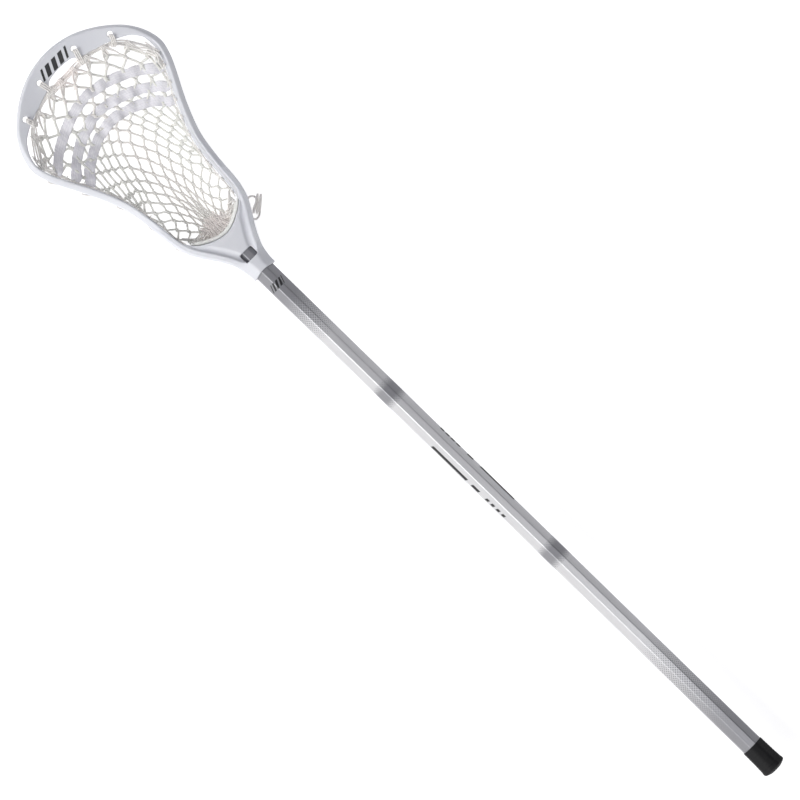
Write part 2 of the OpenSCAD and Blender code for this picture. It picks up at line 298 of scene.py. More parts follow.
# ---- materials ----
class Shader:
    """A material's node tree with short ways to add to it."""

    def __init__(self, name, colour, roughness, **sockets):
        self.material = bpy.data.materials.new(name)
        self.material.use_nodes = True
        self.tree = self.material.node_tree
        self.bsdf = self.tree.nodes["Principled BSDF"]
        self.bsdf.inputs["Base Color"].default_value = (*colour, 1)
        self.bsdf.inputs["Roughness"].default_value = roughness
        for key, value in sockets.items():
            self.bsdf.inputs[key.replace("_", " ")].default_value = value

    def put(self, socket, value):
        """Links value to an input, or sets it there."""
        if isinstance(value, bpy.types.NodeSocket):
            self.tree.links.new(value, socket)
        else:
            if isinstance(value, tuple) and len(value) == 3 and socket.type == "RGBA":
                value = (*value, 1)
            socket.default_value = value

    def node(self, kind, out=0, **inputs):
        made = self.tree.nodes.new("ShaderNode" + kind)
        for key, value in inputs.items():
            self.put(made.inputs[key.replace("_", " ")], value)
        return made.outputs[out]

    def math(self, operation, *values):
        made = self.tree.nodes.new("ShaderNodeMath")
        made.operation = operation
        for socket, value in zip(made.inputs, values):
            self.put(socket, value)
        return made.outputs[0]

    def where(self):
        """x, y and z in the frame, in metres, at rest."""
        made = self.node("TexCoord", "Object")
        split = self.tree.nodes.new("ShaderNodeSeparateXYZ")
        self.put(split.inputs[0], made)
        return made, split.outputs

    def map_uv(self, name):
        """A UV map's place, and its two parts on their own."""
        made = self.tree.nodes.new("ShaderNodeUVMap")
        made.uv_map = name
        split = self.tree.nodes.new("ShaderNodeSeparateXYZ")
        self.put(split.inputs[0], made.outputs[0])
        return made.outputs[0], split.outputs[0], split.outputs[1]

    def noise(self, at, scale, detail=3.0, roughness=0.5):
        return self.node("TexNoise", Vector=at, Scale=scale, Detail=detail, Roughness=roughness)

    def stretch(self, at, scale):
        return self.node("Mapping", Vector=at, Scale=scale)

    def band(self, value, low, high, a=0.0, b=1.0):
        """a to b as value goes from low to high."""
        return self.node("MapRange", Value=value, From_Min=low, From_Max=high, To_Min=a, To_Max=b)

    def mix(self, share, a, b):
        """Colour a where share is 0, b where it is 1."""
        made = self.tree.nodes.new("ShaderNodeMix")
        made.data_type = "RGBA"
        self.put(made.inputs["Factor"], share)
        self.put(made.inputs[6], a)
        self.put(made.inputs[7], b)
        return made.outputs[2]

    def colour(self, value):
        self.put(self.bsdf.inputs["Base Color"], value)

    def rough(self, value):
        self.put(self.bsdf.inputs["Roughness"], value)

    def bump(self, height, depth, strength):
        made = self.node("Bump", Strength=strength, Distance=depth, Height=height)
        self.put(self.bsdf.inputs["Normal"], made)


INK = (0.012, 0.012, 0.014)


def slanted_bars(shader, along, across, pitch, share, count, lean, width):
    """1 inside a row of equal slanted bars centred on the middle of across, 0 outside; all in metres."""
    slid = shader.math("MULTIPLY_ADD", along, lean, across)
    step = shader.math("PINGPONG", shader.math("ABSOLUTE", slid), pitch / 2)
    bar = shader.math("LESS_THAN", step, pitch * share / 2)
    inside = shader.math("LESS_THAN", shader.math("ABSOLUTE", slid), pitch * count / 2)
    tall = shader.math("LESS_THAN", shader.math("ABSOLUTE", along), width / 2)
    return shader.math("MULTIPLY", shader.math("MULTIPLY", bar, inside), tall)


def plastic_material():
    """White moulded nylon: soft gloss, faint flow marks and a printed row of plain bars on the scoop."""
    m = Shader("head_plastic", (0.68, 0.69, 0.73), 0.34, Specular_IOR_Level=0.5)
    at, xyz = m.where()
    cloud = m.noise(at, 18, 4)
    fine = m.noise(at, 900, 2)
    flow = m.noise(m.stretch(at, (12, 90, 60)), 6, 3)
    white = m.mix(m.band(cloud, 0.35, 0.7), (0.655, 0.665, 0.71), (0.71, 0.72, 0.75))
    white = m.mix(m.band(flow, 0.55, 0.8, 0, 0.25), white, (0.63, 0.645, 0.70))
    mark = slanted_bars(m, m.math("SUBTRACT", xyz[0], TIP_X - 0.0148), xyz[1],
                        pitch=0.0088, share=0.62, count=4, lean=0.5, width=0.0105)
    facing = m.tree.nodes.new("ShaderNodeSeparateXYZ")
    m.put(facing.inputs[0], m.node("NewGeometry", "Normal"))
    mark = m.math("MULTIPLY", mark, m.math("GREATER_THAN", facing.outputs[2], 0.3))
    m.colour(m.mix(mark, white, INK))
    m.rough(m.band(cloud, 0.3, 0.7, 0.28, 0.42))
    m.bump(fine, 0.00003, 0.35)
    return m.material


def shaft_material():
    """Silver lacquer with a halftone of darker diamonds, two bands and plain black stripes."""
    m = Shader("shaft_alloy", (0.8, 0.8, 0.82), 0.34, Metallic=0.55, Coat_Weight=0.35, Coat_Roughness=0.12)
    at, s, w = m.map_uv("print")
    diamond = 3.3
    a = m.math("DIVIDE", m.math("ADD", s, w), diamond)
    b = m.math("DIVIDE", m.math("SUBTRACT", s, w), diamond)
    far = m.math("MAXIMUM", m.math("PINGPONG", a, 0.5), m.math("PINGPONG", b, 0.5))
    # How much of the print is dark, by place along the stick
    fade = m.band(s, 338, 398, 1.0, 0.0)
    end = m.band(s, 828, 962, 0.0, 1.0)
    rings = [m.band(m.math("ABSOLUTE", m.math("SUBTRACT", s, c)), 4.5, 14, 1.0, 0.0) for c in (479, 707)]
    cover = m.math("MAXIMUM", m.math("MAXIMUM", fade, end), m.math("MAXIMUM", *rings))
    # PINGPONG is 0 at a dot's middle and 0.5 between dots
    reach = m.math("MULTIPLY", m.math("SQRT", cover), 0.53)
    dot = m.band(m.math("SUBTRACT", reach, far), -0.035, 0.035)
    dark = m.math("MULTIPLY", dot, m.math("GREATER_THAN", cover, 0.004))
    brushed = m.noise(m.stretch(at, (0.05, 2.2, 1)), 1.0, 3)
    light = m.mix(m.band(brushed, 0.3, 0.7), (0.60, 0.60, 0.62), (0.66, 0.66, 0.67))
    colour = m.mix(dark, light, (0.28, 0.28, 0.30))
    # Plain stripes on two flats: start, end and flat. Two are broken up: pitch and share of ink
    left, right = (9.8, 12.9), (-14.4, -11.6)
    stripes = [(547, 595, left), (602, 612, left), (540, 568, right), (577.5, 585.5, right),
               (595.5, 642, right), (621.5, 649, left)]
    gaps = {540: (7.3, 0.72), 621.5: (7.35, 0.55)}
    slant = 0.45
    ink = None
    for start, stop, (low, high) in stripes:
        lean_w = m.math("MULTIPLY_ADD", w, slant, s)
        shift = slant * (low + high) / 2
        inside = m.math("MULTIPLY", m.math("GREATER_THAN", lean_w, start + shift),
                        m.math("LESS_THAN", lean_w, stop + shift))
        level = m.math("MULTIPLY", m.math("GREATER_THAN", w, low), m.math("LESS_THAN", w, high))
        bar = m.math("MULTIPLY", inside, level)
        if start in gaps:
            pitch, share = gaps[start]
            turn = m.math("FRACT", m.math("DIVIDE", m.math("SUBTRACT", lean_w, start + shift), pitch))
            bar = m.math("MULTIPLY", bar, m.math("LESS_THAN", turn, share))
        ink = bar if ink is None else m.math("MAXIMUM", ink, bar)
    mark = slanted_bars(m, m.math("SUBTRACT", s, 324.5), m.math("SUBTRACT", w, 1.5), pitch=4.6,
                        share=0.6, count=4, lean=-0.5, width=8)
    ink = m.math("MAXIMUM", ink, mark)
    m.colour(m.mix(ink, colour, INK))
    m.put(m.bsdf.inputs["Metallic"], m.band(ink, 0, 1, 0.55, 0.0))
    m.rough(m.band(brushed, 0.3, 0.7, 0.30, 0.40))
    m.bump(m.math("SUBTRACT", brushed, m.math("MULTIPLY", dark, 0.2)), 0.00002, 0.4)
    return m.material


def rubber_material():
    """Black rubber with a fine matt grain and paler rubbed edges."""
    m = Shader("cap_rubber", (0.008, 0.008, 0.009), 0.66, Specular_IOR_Level=0.22)
    at, _ = m.where()
    grain = m.noise(at, 1400, 4, 0.6)
    worn = m.noise(at, 120, 5)
    edge = m.node("NewGeometry", "Pointiness")
    rubbed = m.math("MULTIPLY", m.band(edge, 0.52, 0.58), m.band(worn, 0.45, 0.62))
    m.colour(m.mix(rubbed, m.mix(m.band(worn, 0.35, 0.7), (0.007, 0.007, 0.008), (0.012, 0.012, 0.013)),
                   (0.035, 0.035, 0.037)))
    m.rough(m.band(worn, 0.3, 0.7, 0.55, 0.72))
    m.bump(grain, 0.0001, 0.5)
    return m.material


def steel_material():
    """Zinc-plated steel, a little blotched."""
    m = Shader("screw_steel", (0.56, 0.57, 0.60), 0.3, Metallic=1.0)
    at, _ = m.where()
    spots = m.noise(at, 700, 4)
    m.colour(m.mix(m.band(spots, 0.4, 0.7), (0.60, 0.61, 0.63), (0.42, 0.43, 0.46)))
    m.rough(m.band(spots, 0.3, 0.7, 0.22, 0.42))
    m.bump(m.noise(m.stretch(at, (1, 1, 6)), 900, 3), 0.00003, 0.5)
    return m.material


def foam_material():
    """Closed-cell foam, grey beige, with small pits."""
    m = Shader("pad_foam", (0.90, 0.90, 0.86), 0.85, Sheen_Weight=0.15)
    at, _ = m.where()
    cells = m.tree.nodes.new("ShaderNodeTexVoronoi")
    m.put(cells.inputs["Vector"], at)
    cells.inputs["Scale"].default_value = 1100
    soft = m.noise(at, 130, 4)
    m.colour(m.mix(m.band(soft, 0.3, 0.7), (0.86, 0.87, 0.82), (0.93, 0.93, 0.90)))
    m.bump(m.math("ADD", cells.outputs["Distance"], soft), 0.00035, 0.6)
    return m.material


def braid_material(name, light, dark, warm, per_mm, strands):
    """Braided cord: two sets of strands that cross, by place along (mm) and round (turns) the cord. The
    dark colour is painted shade in the crevices between the strands.
    """
    m = Shader(name, light, 0.72, Sheen_Weight=0.35, Sheen_Roughness=0.5)
    _, along, turn = m.map_uv("cord")
    run = m.math("MULTIPLY", along, per_mm)
    round_ = m.math("MULTIPLY", turn, strands)
    one = m.math("PINGPONG", m.math("ADD", run, round_), 0.5)
    two = m.math("PINGPONG", m.math("SUBTRACT", run, round_), 0.5)
    weave = m.math("MULTIPLY", m.math("MAXIMUM", one, two), 2.0)
    at, xyz = m.where()
    fibre = m.noise(at, 2600, 3)
    patch = m.noise(at, 160, 3)
    # Handled string is a little warmer along the pocket's middle
    middle = m.band(m.math("ABSOLUTE", xyz[1]), 0.008, 0.024, 1.0, 0.0)
    base = m.mix(m.band(patch, 0.35, 0.68), light, tuple(0.93 * c for c in light))
    base = m.mix(middle, base, warm)
    # Painted shade: dark is laid where the weave is low, between the crossing strands, in place of the
    # shade in the braid's crevices
    colour = m.mix(m.band(weave, 0.35, 1.0, 0.6, 0.0), base, dark)
    m.colour(m.mix(m.band(fibre, 0.45, 0.75, 0, 0.3), colour, tuple(min(1, 1.15 * c) for c in light)))
    m.bump(m.math("MULTIPLY_ADD", fibre, 0.35, weave), 0.0002, 0.6)
    return m.material


def lace_material():
    """Flat woven lace: ribs along it, crossed by fine picks, in cool white with greyer threads."""
    m = Shader("shooting_lace", (0.70, 0.71, 0.78), 0.7, Sheen_Weight=0.35, Sheen_Roughness=0.5)
    _, along, turn = m.map_uv("cord")
    at, _ = m.where()
    wander = m.noise(at, 90, 3)
    ribs = m.math("PINGPONG", m.math("MULTIPLY_ADD", wander, 0.8, m.math("MULTIPLY", turn, 22)), 0.5)
    picks = m.math("PINGPONG", m.math("MULTIPLY_ADD", ribs, 1.2, m.math("MULTIPLY", along, 0.95)), 0.5)
    weave = m.math("ADD", ribs, m.math("MULTIPLY", picks, 0.8))
    streak = m.noise(m.stretch(at, (60, 380, 200)), 2.2, 4)
    base = m.mix(m.band(streak, 0.35, 0.66), (0.74, 0.73, 0.78), (0.88, 0.87, 0.89))
    m.colour(m.mix(m.band(weave, 0.1, 0.7, 0.5, 0), base, (0.66, 0.65, 0.70)))
    m.bump(weave, 0.0003, 0.8)
    return m.material


MATERIALS = {
    "head_plastic": plastic_material(),
    "shaft_alloy": shaft_material(),
    "cap_rubber": rubber_material(),
    "screw_steel": steel_material(),
    "pad_foam": foam_material(),
    # The second colour of each braid is its painted shade for the crevices between strands
    "mesh_cord": braid_material("mesh_cord", (0.89, 0.89, 0.85), (0.62, 0.61, 0.56),
                                (0.90, 0.87, 0.84), per_mm=0.9, strands=3),
    "lacing": braid_material("lacing", (0.94, 0.92, 0.89), (0.76, 0.72, 0.68),
                             (0.97, 0.90, 0.87), per_mm=0.8, strands=4),
    "shooting_lace": lace_material(),
}


# ---- mesh helpers ----
RNG = np.random.default_rng(11)


def new_object(name, data):
    made = bpy.data.objects.new(name, data)
    bpy.context.scene.collection.objects.link(made)
    return made


def mesh_object(name, points, faces):
    """A mesh object from (s, y, z) points, its faces turned outwards."""
    mesh = bpy.data.meshes.new(name)
    mesh.from_pydata(place(points).tolist(), [], faces)
    turn_outwards(mesh)
    return new_object(name, mesh)


def turn_outwards(mesh):
    b = bmesh.new()
    b.from_mesh(mesh)
    bmesh.ops.recalc_face_normals(b, faces=b.faces)
    b.to_mesh(mesh)
    b.free()


def baked(obj, *modifiers):
    """Applies modifiers, each a (type, settings) pair, to obj's mesh."""
    for kind, settings in modifiers:
        m = obj.modifiers.new(kind.lower(), kind)
        for key, value in settings.items():
            setattr(m, key, value)
    deps = bpy.context.evaluated_depsgraph_get()
    mesh = bpy.data.meshes.new_from_object(obj.evaluated_get(deps))
    old = obj.data
    obj.modifiers.clear()
    obj.data = mesh
    bpy.data.meshes.remove(old)


def joined(name, objects):
    """One object with the meshes of all of them."""
    b = bmesh.new()
    for o in objects:
        b.from_mesh(o.data)
    mesh = bpy.data.meshes.new(name)
    b.to_mesh(mesh)
    b.free()
    for o in objects:
        remove(o)
    return new_object(name, mesh)


def remove(obj):
    data = obj.data
    bpy.data.objects.remove(obj)
    bpy.data.meshes.remove(data)


def cut(obj, cutters):
    """Takes each cutter's solid away from obj."""
    for c in cutters:
        baked(obj, ("BOOLEAN", {"operation": "DIFFERENCE", "solver": "EXACT", "object": c}))


def wall_faces(rows, n, start=0, closed=False):
    """Faces between rings of n points; closed joins the last ring to the first."""
    return [tuple(start + row % rows * n + j % n
                  for row, j in ((i, k), (i, k + 1), (i + 1, k + 1), (i + 1, k)))
            for i in range(rows if closed else rows - 1) for k in range(n)]


def loft(name, rings):
    """A closed solid through rings of points, all with the same count."""
    rings = np.asarray(rings, float)
    m, n = rings.shape[:2]
    faces = wall_faces(m, n)
    faces += [tuple(range(n)), tuple(range((m - 1) * n, m * n))]
    return mesh_object(name, rings.reshape(-1, 3), faces)


def rod(at, axis, radius, length, sides):
    """A round bar centred at a place, for cutting holes."""
    axis = unit(axis)
    a = unit(np.cross(axis, [0, 0, 1] if abs(axis[2]) < 0.8 else [0, 1, 0]))
    b = np.cross(axis, a)
    turn = circle(sides)[:, None]
    ring = np.asarray(at, float) + radius * (np.cos(turn) * a + np.sin(turn) * b)
    return loft("cutter", [ring - axis * length / 2, ring + axis * length / 2])


def octagon(half_w, half_d, flat_front, flat_side, corner=0.0, steps=1):
    """The shaft's eight-sided outline as (y, z), its corners rounded by corner when steps is over 1."""
    y, z, f, e = half_w, half_d, flat_front, flat_side
    c = np.array([[y, e], [f, z], [-f, z], [-y, e], [-y, -e], [-f, -z], [f, -z], [y, -e]], float)
    if steps < 2:
        return c
    out = []
    for i in range(8):
        p, a, b = c[i], unit(c[i - 1] - c[i]), unit(c[(i + 1) % 8] - c[i])
        for t in np.linspace(0, 1, steps):
            out.append((1 - t) ** 2 * (p + a * corner) + 2 * t * (1 - t) * p + t ** 2 * (p + b * corner))
    return np.array(out)


def grown_octagon(g, **rounding):
    return octagon(HALF_W + g, HALF_D + g, 3.4 + 0.4 * g, 5 + 0.4 * g, **rounding)


def ring_at(s, outline):
    return np.column_stack((np.broadcast_to(s, len(outline)), outline))


class Strands:
    """Cords and bands gathered into one piece, with a UV map that gives the place along each (mm) and
    round it (turns)."""

    def __init__(self):
        self.points, self.faces, self.uvs, self.count = [], [], [], 0

    def add(self, path, section, up=None, width=None):
        """Sweeps section, (across, up) offsets in mm, along path; up holds it level, width scales it."""
        path = np.asarray(path, float)
        section = np.asarray(section, float)
        m, n = len(path), len(section)
        t = unit(np.gradient(path, axis=0))
        if up is None:
            ups = np.empty_like(path)
            u = np.cross(t[0], [0, 0, 1] if abs(t[0][2]) < 0.8 else [0, 1, 0])
            for i in range(m):
                u = unit(u - t[i] * (u @ t[i]))
                ups[i] = u
        else:
            ups = unit(up - t * (up * t).sum(1, keepdims=True))
        side = np.cross(t, ups)
        scale = np.ones(m) if width is None else np.asarray(width, float)
        # A small dome at each end
        tip = np.linalg.norm(section, axis=1).min()
        dome = [(0.3, 0.9), (0.45, 0.5)]
        order = [(0, -a * tip, k) for a, k in reversed(dome)] + [(i, 0, 1) for i in range(m)]
        order += [(m - 1, a * tip, k) for a, k in dome]
        ring = [path[i] + t[i] * off * 2
                + k * scale[i] * (section[:, :1] * side[i] + section[:, 1:] * ups[i])
                for i, off, k in order]
        rows = len(ring)
        length = lengths(path)
        run = np.array([length[i] for i, _, _ in order])
        base = self.count
        self.faces += wall_faces(rows, n, base)
        for i in range(rows - 1):
            for k in range(n):
                self.uvs += [(run[i], k / n), (run[i], (k + 1) / n), (run[i + 1], (k + 1) / n),
                             (run[i + 1], k / n)]
        for first, at in ((0, run[0]), ((rows - 1) * n, run[-1])):
            self.faces.append(tuple(base + first + k for k in range(n)))
            self.uvs += [(at, k / n) for k in range(n)]
        self.points.append(np.vstack(ring))
        self.count += rows * n

    def made(self, name):
        mesh = bpy.data.meshes.new(name)
        mesh.from_pydata(place(np.vstack(self.points)).tolist(), [], self.faces)
        layer = mesh.uv_layers.new(name="cord")
        layer.data.foreach_set("uv", np.array(self.uvs, np.float32).ravel())
        turn_outwards(mesh)
        return new_object(name, mesh)


def round_section(d, sides=8):
    turn = circle(sides)
    return np.column_stack((np.cos(turn), np.sin(turn))) * d / 2


def flat_section(width, thick):
    """A flat lace's section with round edges and a slight dent along the middle."""
    turn = circle(16)
    c, s = np.cos(turn), np.sin(turn)
    x = np.sign(c) * np.abs(c) ** 0.55 * width / 2
    z = np.sign(s) * np.abs(s) ** 0.75 * thick / 2 * (0.8 + 0.2 * np.abs(x) / (width / 2))
    return np.column_stack((x, z))


def spaced(path, step):
    """The line again with points about step apart."""
    path = np.asarray(path, float)
    along = lengths(path)
    at = np.linspace(0, along[-1], max(3, int(along[-1] / step) + 1))
    return np.column_stack([np.interp(at, along, path[:, k]) for k in range(3)])


def overhand(centre, size, along, up=(0, 0, 1)):
    """The line of a tight knot, about size across."""
    t = np.linspace(0.15, 2 * math.pi - 0.15, 34)
    x = np.sin(t) + 2 * np.sin(2 * t)
    y = np.cos(t) - 2 * np.cos(2 * t)
    z = -np.sin(3 * t) * 1.1
    a = unit(np.asarray(along, float))
    b = unit(np.cross(up, a))
    c = np.cross(a, b)
    k = size / 6
    return np.asarray(centre, float) + k * (x[:, None] * a + y[:, None] * b + z[:, None] * c)


def finished(obj, slot, body, *nodes, weighted=False):
    """Smooth shading, the slot's material, and the frame's calls."""
    obj.data.shade_smooth()
    obj.data.materials.clear()
    obj.data.materials.append(MATERIALS[slot])
    if weighted:
        baked(obj, ("WEIGHTED_NORMAL", {"weight": 50, "keep_sharp": True}))
    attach(obj, body)
    if nodes:
        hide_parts(*nodes)


# ---- the spare string's end, a free cord ----
# (s, y, z) in metres: an arch out of the sidewall, a flat bow of two turns on edge, and the way back
TAIL_ARCH = [(0.2497, -0.0365, -0.023), (0.2446, -0.0393, -0.0231), (0.2426, -0.0428, -0.0232),
             (0.244, -0.0465, -0.0235), (0.2477, -0.0479, -0.024), (0.2511, -0.0459, -0.0253),
             (0.2523, -0.0422, -0.0278)]
TAIL_BACK = [(0.259, -0.0425, -0.0298), (0.2615, -0.0394, -0.029), (0.2631, -0.036, -0.0272),
             (0.2628, -0.0326, -0.025), (0.2603, -0.0309, -0.0233), (0.2574, -0.0317, -0.0226)]
BOW_MID = (0.2533, -0.0449, -0.0254)
BOW_R = 0.0044      # bend radius at its two ends
BOW_RUN = 0.0051    # half the straight run between them
BOW_W = 0.0064      # from the first turn to the last
BOW_STEPS = 14      # points in a turn: four steps round each end, three along each straight
BOW_N = 27          # points in all, a little under two turns
TAIL_D = 0.0022


def bow_point(k):
    """Point k of the bow, in metres."""
    m = k % BOW_STEPS
    if m < 4:
        angle, along = 45 * m - 90, 1
    elif m < 7:
        angle, along = 90, 1 - 2 * (m - 4) / 3
    elif m < 11:
        angle, along = 45 * (m - 7) + 90, -1
    else:
        angle, along = 270, 2 * (m - 11) / 3 - 1
    x = BOW_RUN * along + BOW_R * np.cos(np.radians(angle))
    w = BOW_W * (k / BOW_N - 0.5)
    s, y, z = BOW_MID
    return s + 0.6 * x + 0.8 * w, y + 0.8 * x - 0.6 * w, z + BOW_R * np.sin(np.radians(angle))


def string_tail():
    route = np.array(TAIL_ARCH + [bow_point(k) for k in range(BOW_N)] + TAIL_BACK) / MM
    tube = Strands()
    tube.add(curve(route, 6), round_section(TAIL_D / MM, 10))
    piece = tube.made("string_tail_bow")
    finished(piece, "lacing", "stick", "string_tail")


string_tail()


# ---- the head ----
def head_cuts():
    """Twelve corners of the cut through scoop or sidewall at each place of the outer edge."""
    s = EDGE[:, 0]
    w = top_width(s)
    zt, zb = top_z(s), low_z(s)
    zero = np.zeros_like(s)
    zi = zt - 0.8 - 0.45 * (w - RIM_W)
    # The rim's top slopes outwards in two facets from a crown near its inner edge
    side = [(zero, zt - 4.4), (zero + 2.6, zt - 1.9), (zero + 5.3, zt), (w, zt - 0.9), (w, zt - 3.6),
            (zero + LEAN / 2 + WALL, zt - 5.8), (zero + LEAN + WALL, zb + 9),
            (zero + LEAN + RAIL_W, zb + 7.6), (zero + LEAN + RAIL_W, zb + 1),
            (zero + LEAN + RAIL_W - 1, zb), (zero + LEAN + 1, zb), (zero + LEAN, zb + 1)]
    inner, outer = (w, zi - 3.6), (zero + 0.4, zt - 5)
    blade = [(zero, zt - 3.6), (zero + 1.2, zt - 1.6), (zero + 3.0, zt), (w - 1, zi), (w, zi - 1)]
    for i in range(1, 8):
        t = i / 7
        blade.append((inner[0] * (1 - t) + outer[0] * t,
                      inner[1] * (1 - t) + outer[1] * t - 0.8 * math.sin(math.pi * t)))
    k = smooth((s - 30) / 45)
    cuts = []
    for (a0, a1), (b0, b1) in zip(blade, side):
        cuts.append(np.column_stack((a0 * (1 - k) + b0 * k, a1 * (1 - k) + b1 * k)))
    cuts = np.stack(cuts, axis=1)
    flat = EDGE[:, None, :] + NORMALS[:, None, :] * cuts[:, :, :1]
    return np.concatenate((flat, cuts[:, :, 1:]), axis=2)


def tucked(points):
    """Draws points near the collar in under its eight-sided outline."""
    p = np.array(points, float)
    s, y = p[..., 0], np.abs(p[..., 1])
    high = HALF_D + 3.2
    slant = 6.3 + (edge_y(s) - y) * (high - 6.3) / 9.5
    limit = np.minimum(high, slant) + 24 * (1 - smooth((s - 262) / 28))
    p[..., 2] = np.clip(p[..., 2], -limit, limit)
    return p


def rails():
    """Scoop, rims, sidewalls and lower rails as one swept solid."""
    half = tucked(head_cuts()[EDGE[:, 0] < COLLAR_END - 1])
    return loft("rails", np.concatenate((half[::-1], half[1:] * [1, -1, 1])))


def throat():
    """The solid between the ball stop's edge and the collar, with a shallow groove beside each rim."""
    corner = 0.3
    a = np.linspace(-1, 1, 161)
    size = np.abs(a)
    along = lengths(STOP)
    near = np.column_stack([np.interp(size * along[-1], along, STOP[:, k]) for k in (0, 1)])
    side = inset(1.7)
    side = side[side[:, 0] > 204]
    end = COLLAR_END - 2.5
    far_s = np.where(size < corner, end, end + (204 - end) * (size - corner) / (1 - corner))
    far_y = np.where(size < corner, size / corner * np.interp(end, side[:, 0], side[:, 1]),
                     np.interp(far_s, side[:, 0], side[:, 1]))
    far = np.column_stack((far_s, far_y))
    rows = 40
    t = np.linspace(0, 1, rows + 1)[None, :, None]
    plan = near[:, None, :] * (1 - t) + far[:, None, :] * t
    from_stop = np.linalg.norm(plan - near[:, None, :], axis=2)
    s, y = plan[..., 0], plan[..., 1] * np.sign(a)[:, None]
    zt = top_z(s)
    inward = edge_y(s) - np.abs(y)
    groove = 10 * smooth((300 - s) / 26)
    dip = np.sin(np.pi * np.clip((inward - RIM_W + 0.6) / np.maximum(groove, 0.01), 0, 1))
    top = zt - 0.9 - 1.9 * dip * smooth(groove / 8) * smooth((from_stop - 2.6) / 3)
    low = low_z(s) + 1
    up = tucked(np.stack((s, y, top), axis=2)).reshape(-1, 3)
    down = tucked(np.stack((s, y, low), axis=2)).reshape(-1, 3)
    m, n = len(a), rows + 1
    count = m * n
    faces = []
    for i in range(m - 1):
        for k in range(rows):
            q = (i * n + k, i * n + k + 1, (i + 1) * n + k + 1, (i + 1) * n + k)
            faces += [q, tuple(count + j for j in reversed(q))]
    loop = [k for k in range(n)] + [i * n + rows for i in range(1, m)]
    loop += [(m - 1) * n + k for k in range(rows - 1, -1, -1)] + [i * n for i in range(m - 2, 0, -1)]
    faces += [(p, q, q + count, p + count) for p, q in zip(loop, loop[1:] + loop[:1])]
    return mesh_object("throat", np.vstack((up, down)), faces)


def collar():
    """The eight-sided sleeve at the head's end, its lip longer at the sides than at the front."""
    rings = []
    for s in np.linspace(286, COLLAR_END - 1.7, 15):
        k = smooth((s - 286) / 12)
        outline = octagon(edge_y(s) - 0.15, top_z(s) - 0.1, 4.7 + 1.5 * (1 - k), 6.3 + 1.0 * (1 - k),
                          corner=1.6, steps=5)
        rings.append(ring_at(s, outline))
    lip = rings[-1].copy()
    lip[:, 0] += 0.2 + 2.6 * (np.abs(lip[:, 1]) / 14) ** 2
    return loft("collar", rings + [lip])


def slot_cutter(a, b, r):
    """A round-ended slot through both sidewalls; a and b are its ends as (s, z)."""
    a, b = np.array(a, float), np.array(b, float)
    heading = math.atan2(*(b - a)[::-1])
    turns = np.linspace(math.pi / 2, 3 * math.pi / 2, 14)
    ends = [a + r * np.column_stack((np.cos(turns + heading), np.sin(turns + heading))),
            b + r * np.column_stack((np.cos(turns + heading + math.pi),
                                     np.sin(turns + heading + math.pi)))]
    p = np.vstack(ends)
    return loft("cutter", [np.column_stack((p[:, 0], np.full(len(p), y), p[:, 1]))
                           for y in (-120.0, 120.0)])


def block(low, high):
    """A box between two corners, for cutting."""
    (a, b, c), (d, e, f) = low, high
    return loft("cutter", [[(a, b, z), (d, b, z), (d, e, z), (a, e, z)] for z in (c, f)])


def head_cutters():
    """The head's holes and hollows as two groups of solids, with no overlap inside a group."""
    first = [loft("cutter", [ring_at(s, grown_octagon(0.4)) for s in (SHAFT_START - 0.3, 320)])]
    first += [rod((s, 0, low_z(s) + LACE_UP), (0, 1, 0), LACE_HOLE_R, 240, 20) for s in LACE_HOLES]
    first += [rod((s, side * y, 30), (0, 0, 1), SCOOP_HOLE_R, 60, 28)
              for s, y in SCOOP_HOLES for side in (1, -1)]
    first += [slot_cutter(*slot) for slot in SIDE_SLOTS]
    pocket_floor = -30
    pocket = SCREW_LOW + 2 - pocket_floor
    second = [block(*WINDOW),
              rod((SCREW_S, 0, -17.5), (0, 0, 1), SCREW_HOLE_R, 25, 28),
              rod((SCREW_S, 0, pocket_floor + pocket / 2), (0, 0, 1), SCREW_POCKET_R, pocket, 36)]
    for side in (1, -1):
        second.append(loft("cutter", [[(s, side * y, z) for s, y in HOLLOW] for z in (-60, 6)]))
    return [joined("first", first), joined("second", second[:2] + second[3:]), second[2]]


HEAD_TRIANGLES = 186000


def make_head():
    """Rails, throat and collar cut out, then melted into one moulding with soft edges."""
    cutters = head_cutters()
    solids = [rails(), throat(), collar()]
    for solid in solids:
        cut(solid, cutters)
    head = joined("moulded_head", solids)
    voxel = 0.00078
    baked(head, ("REMESH", {"mode": "VOXEL", "voxel_size": voxel, "adaptivity": 0.0}))
    baked(head, ("SMOOTH", {"factor": 0.5, "iterations": 5}))
    faces = 2 * len(head.data.polygons)
    baked(head, ("DECIMATE", {"ratio": min(1.0, HEAD_TRIANGLES / faces)}))
    for c in cutters:
        remove(c)
    finished(head, "head_plastic", "stick", "head")


make_head()


